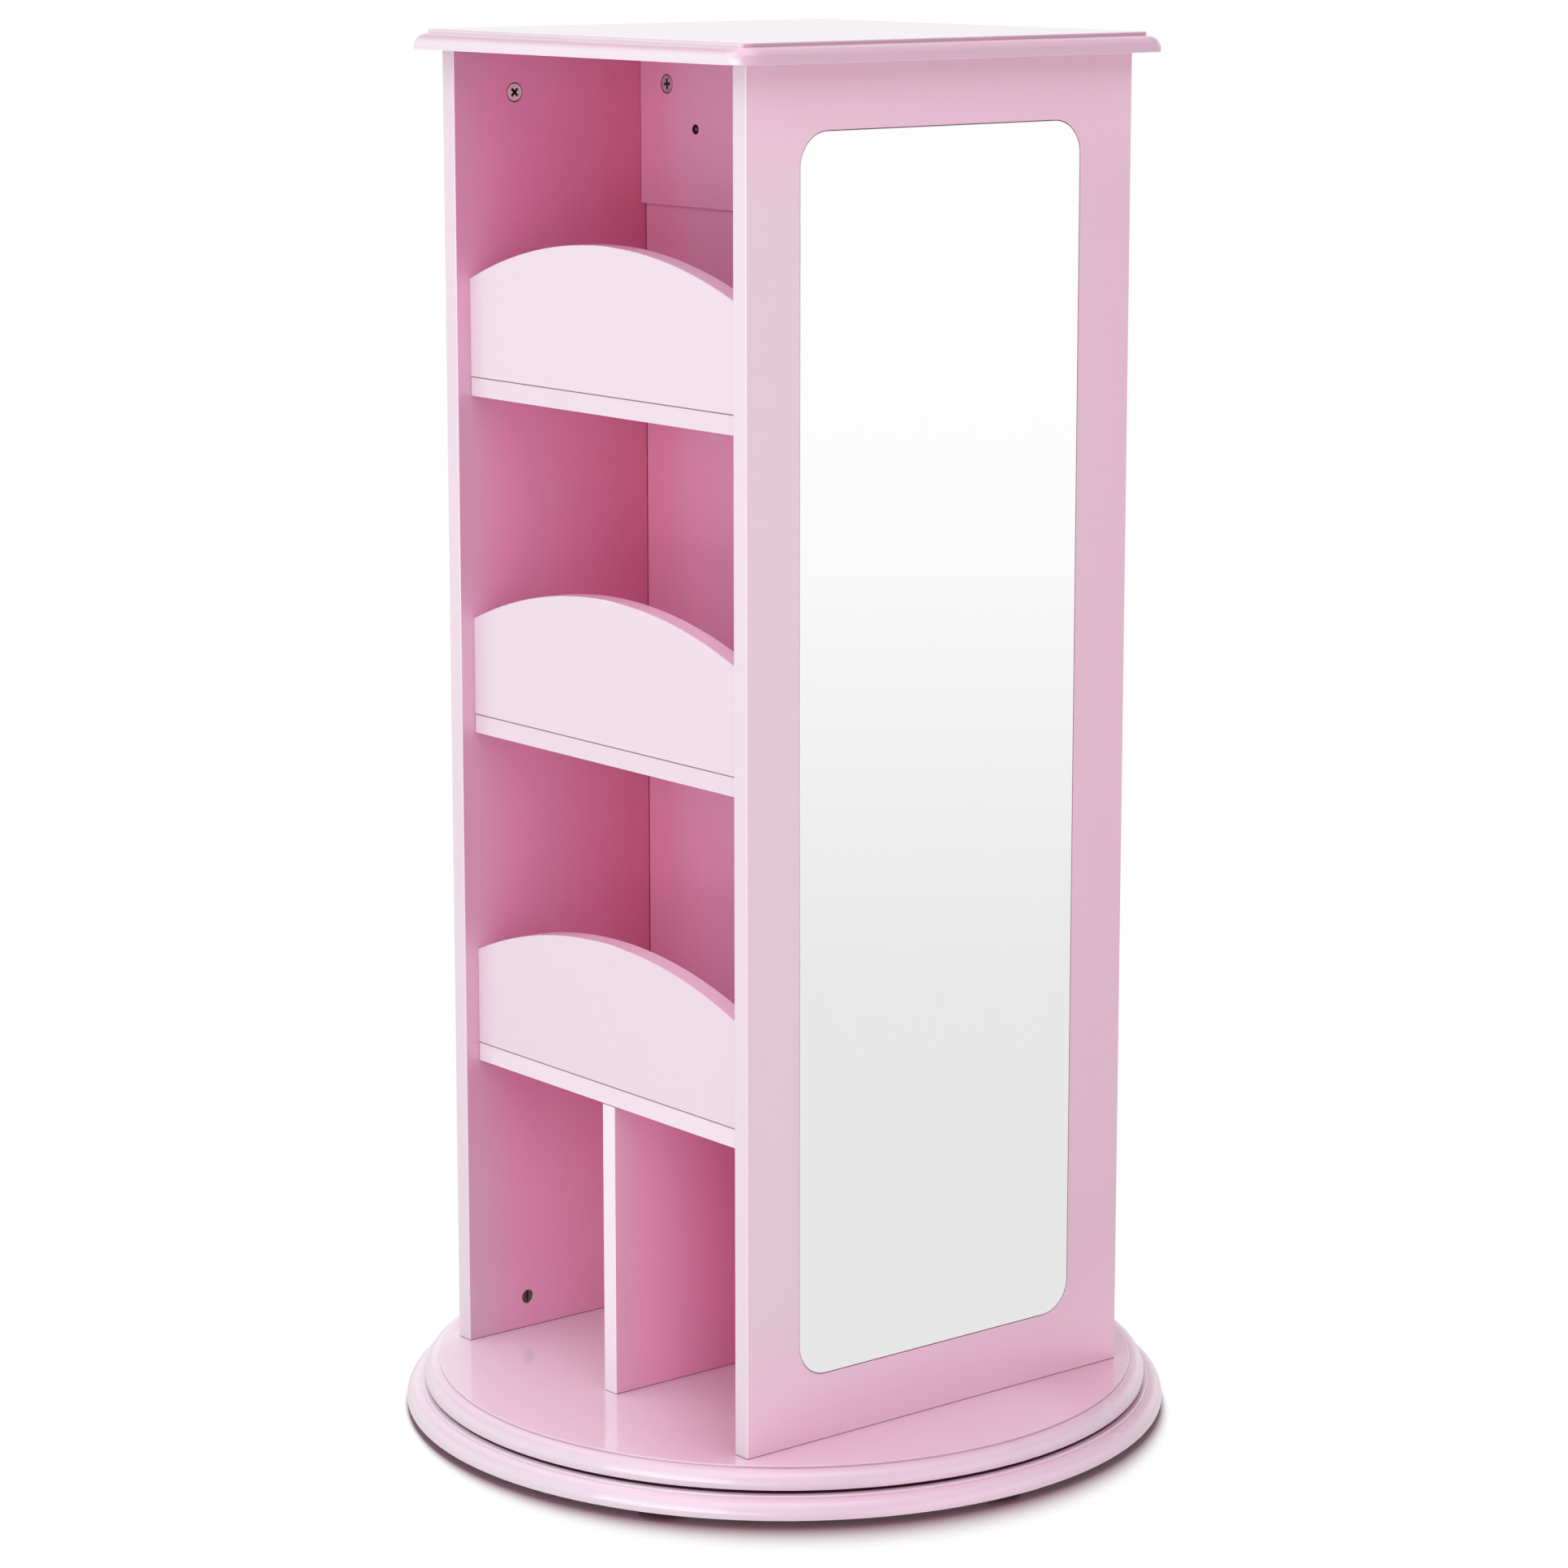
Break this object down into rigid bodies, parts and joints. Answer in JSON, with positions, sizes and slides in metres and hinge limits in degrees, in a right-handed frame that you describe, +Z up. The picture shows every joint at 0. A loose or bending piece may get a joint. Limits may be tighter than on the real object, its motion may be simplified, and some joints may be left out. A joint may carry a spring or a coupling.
{
  "type": "revolving wardrobe cabinet",
  "caption": "Square lacquered child's wardrobe cabinet that turns on a round base, with lipped shelves, cubbies, a tall mirror and a hanging side with pegs.",
  "frame": {"origin": "on the turning axis at floor level, under the middle of the round base", "axes": "+Z up; the shelf side faces -Y, the mirror side +X, the hanging side +Y, the plain side -X"},
  "size_m": [0.5999, 0.6, 1.0775],
  "materials": {
    "pink_lacquer": "satin-gloss pink lacquer on fibreboard",
    "mirror_silver": "clear flat mirror",
    "foam_tape": "white foam tape",
    "beech_wood": "bare beech",
    "cam_zinc": "die-cast zinc",
    "bright_steel": "zinc-plated steel",
    "bearing_steel": "polished steel",
    "ring_aluminium": "plain aluminium",
    "cage_plastic": "white plastic",
    "glide_plastic": "dark hard plastic"
  },
  "bodies": {
    "base": {"floor_glides": "glide_plastic", "glide_screws": "bright_steel", "lower_disc": "pink_lacquer", "bearing_inner_ring": "ring_aluminium", "inner_ring_screws": "bright_steel"},
    "ball_cage": {"ball_cage": "cage_plastic", "bearing_balls": "bearing_steel"},
    "cabinet": {"bearing_outer_ring": "ring_aluminium", "outer_ring_screws": "bright_steel", "upper_disc": "pink_lacquer", "plain_side_panel": "pink_lacquer", "mirror_side_panel": "pink_lacquer", "mirror": "mirror_silver", "mirror_tape": "foam_tape", "top_slab": "pink_lacquer", "cross_rail": "pink_lacquer", "back_panel": "pink_lacquer", "cubby_divider": "pink_lacquer", "lower_shelf": "pink_lacquer", "lower_lip": "pink_lacquer", "middle_shelf": "pink_lacquer", "middle_lip": "pink_lacquer", "upper_shelf": "pink_lacquer", "upper_lip": "pink_lacquer", "coat_peg_left": "pink_lacquer", "coat_peg_middle": "pink_lacquer", "coat_peg_right": "pink_lacquer", "top_cam_locks": "cam_zinc", "top_cam_bolts": "bright_steel", "shelf_cam_locks": "cam_zinc", "shelf_cam_bolts": "bright_steel", "rail_cam_locks": "cam_zinc", "rail_cam_bolts": "bright_steel", "foot_barrel_nuts": "cam_zinc", "foot_bolts": "bright_steel", "top_dowels": "beech_wood", "foot_dowels": "beech_wood", "shelf_dowels": "beech_wood", "rail_dowels": "beech_wood", "lip_dowels": "beech_wood", "divider_dowels": "beech_wood", "lip_screws": "bright_steel", "divider_screws": "bright_steel", "peg_screws": "bright_steel"}
  },
  "joints": [
    {"name": "cabinet_turn", "type": "hinge", "parent": "base", "child": "cabinet", "pos_m": [0, 0, 0.0225], "axis": [0, 0, 1], "continuous": true},
    {"name": "cage_turn", "type": "hinge", "parent": "base", "child": "ball_cage", "pos_m": [0, 0, 0.0225], "axis": [0, 0, 1], "continuous": true}
  ],
  "couplings": [
    {"joint": "cage_turn", "follows": "cabinet_turn", "ratio": 0.5}
  ]
}
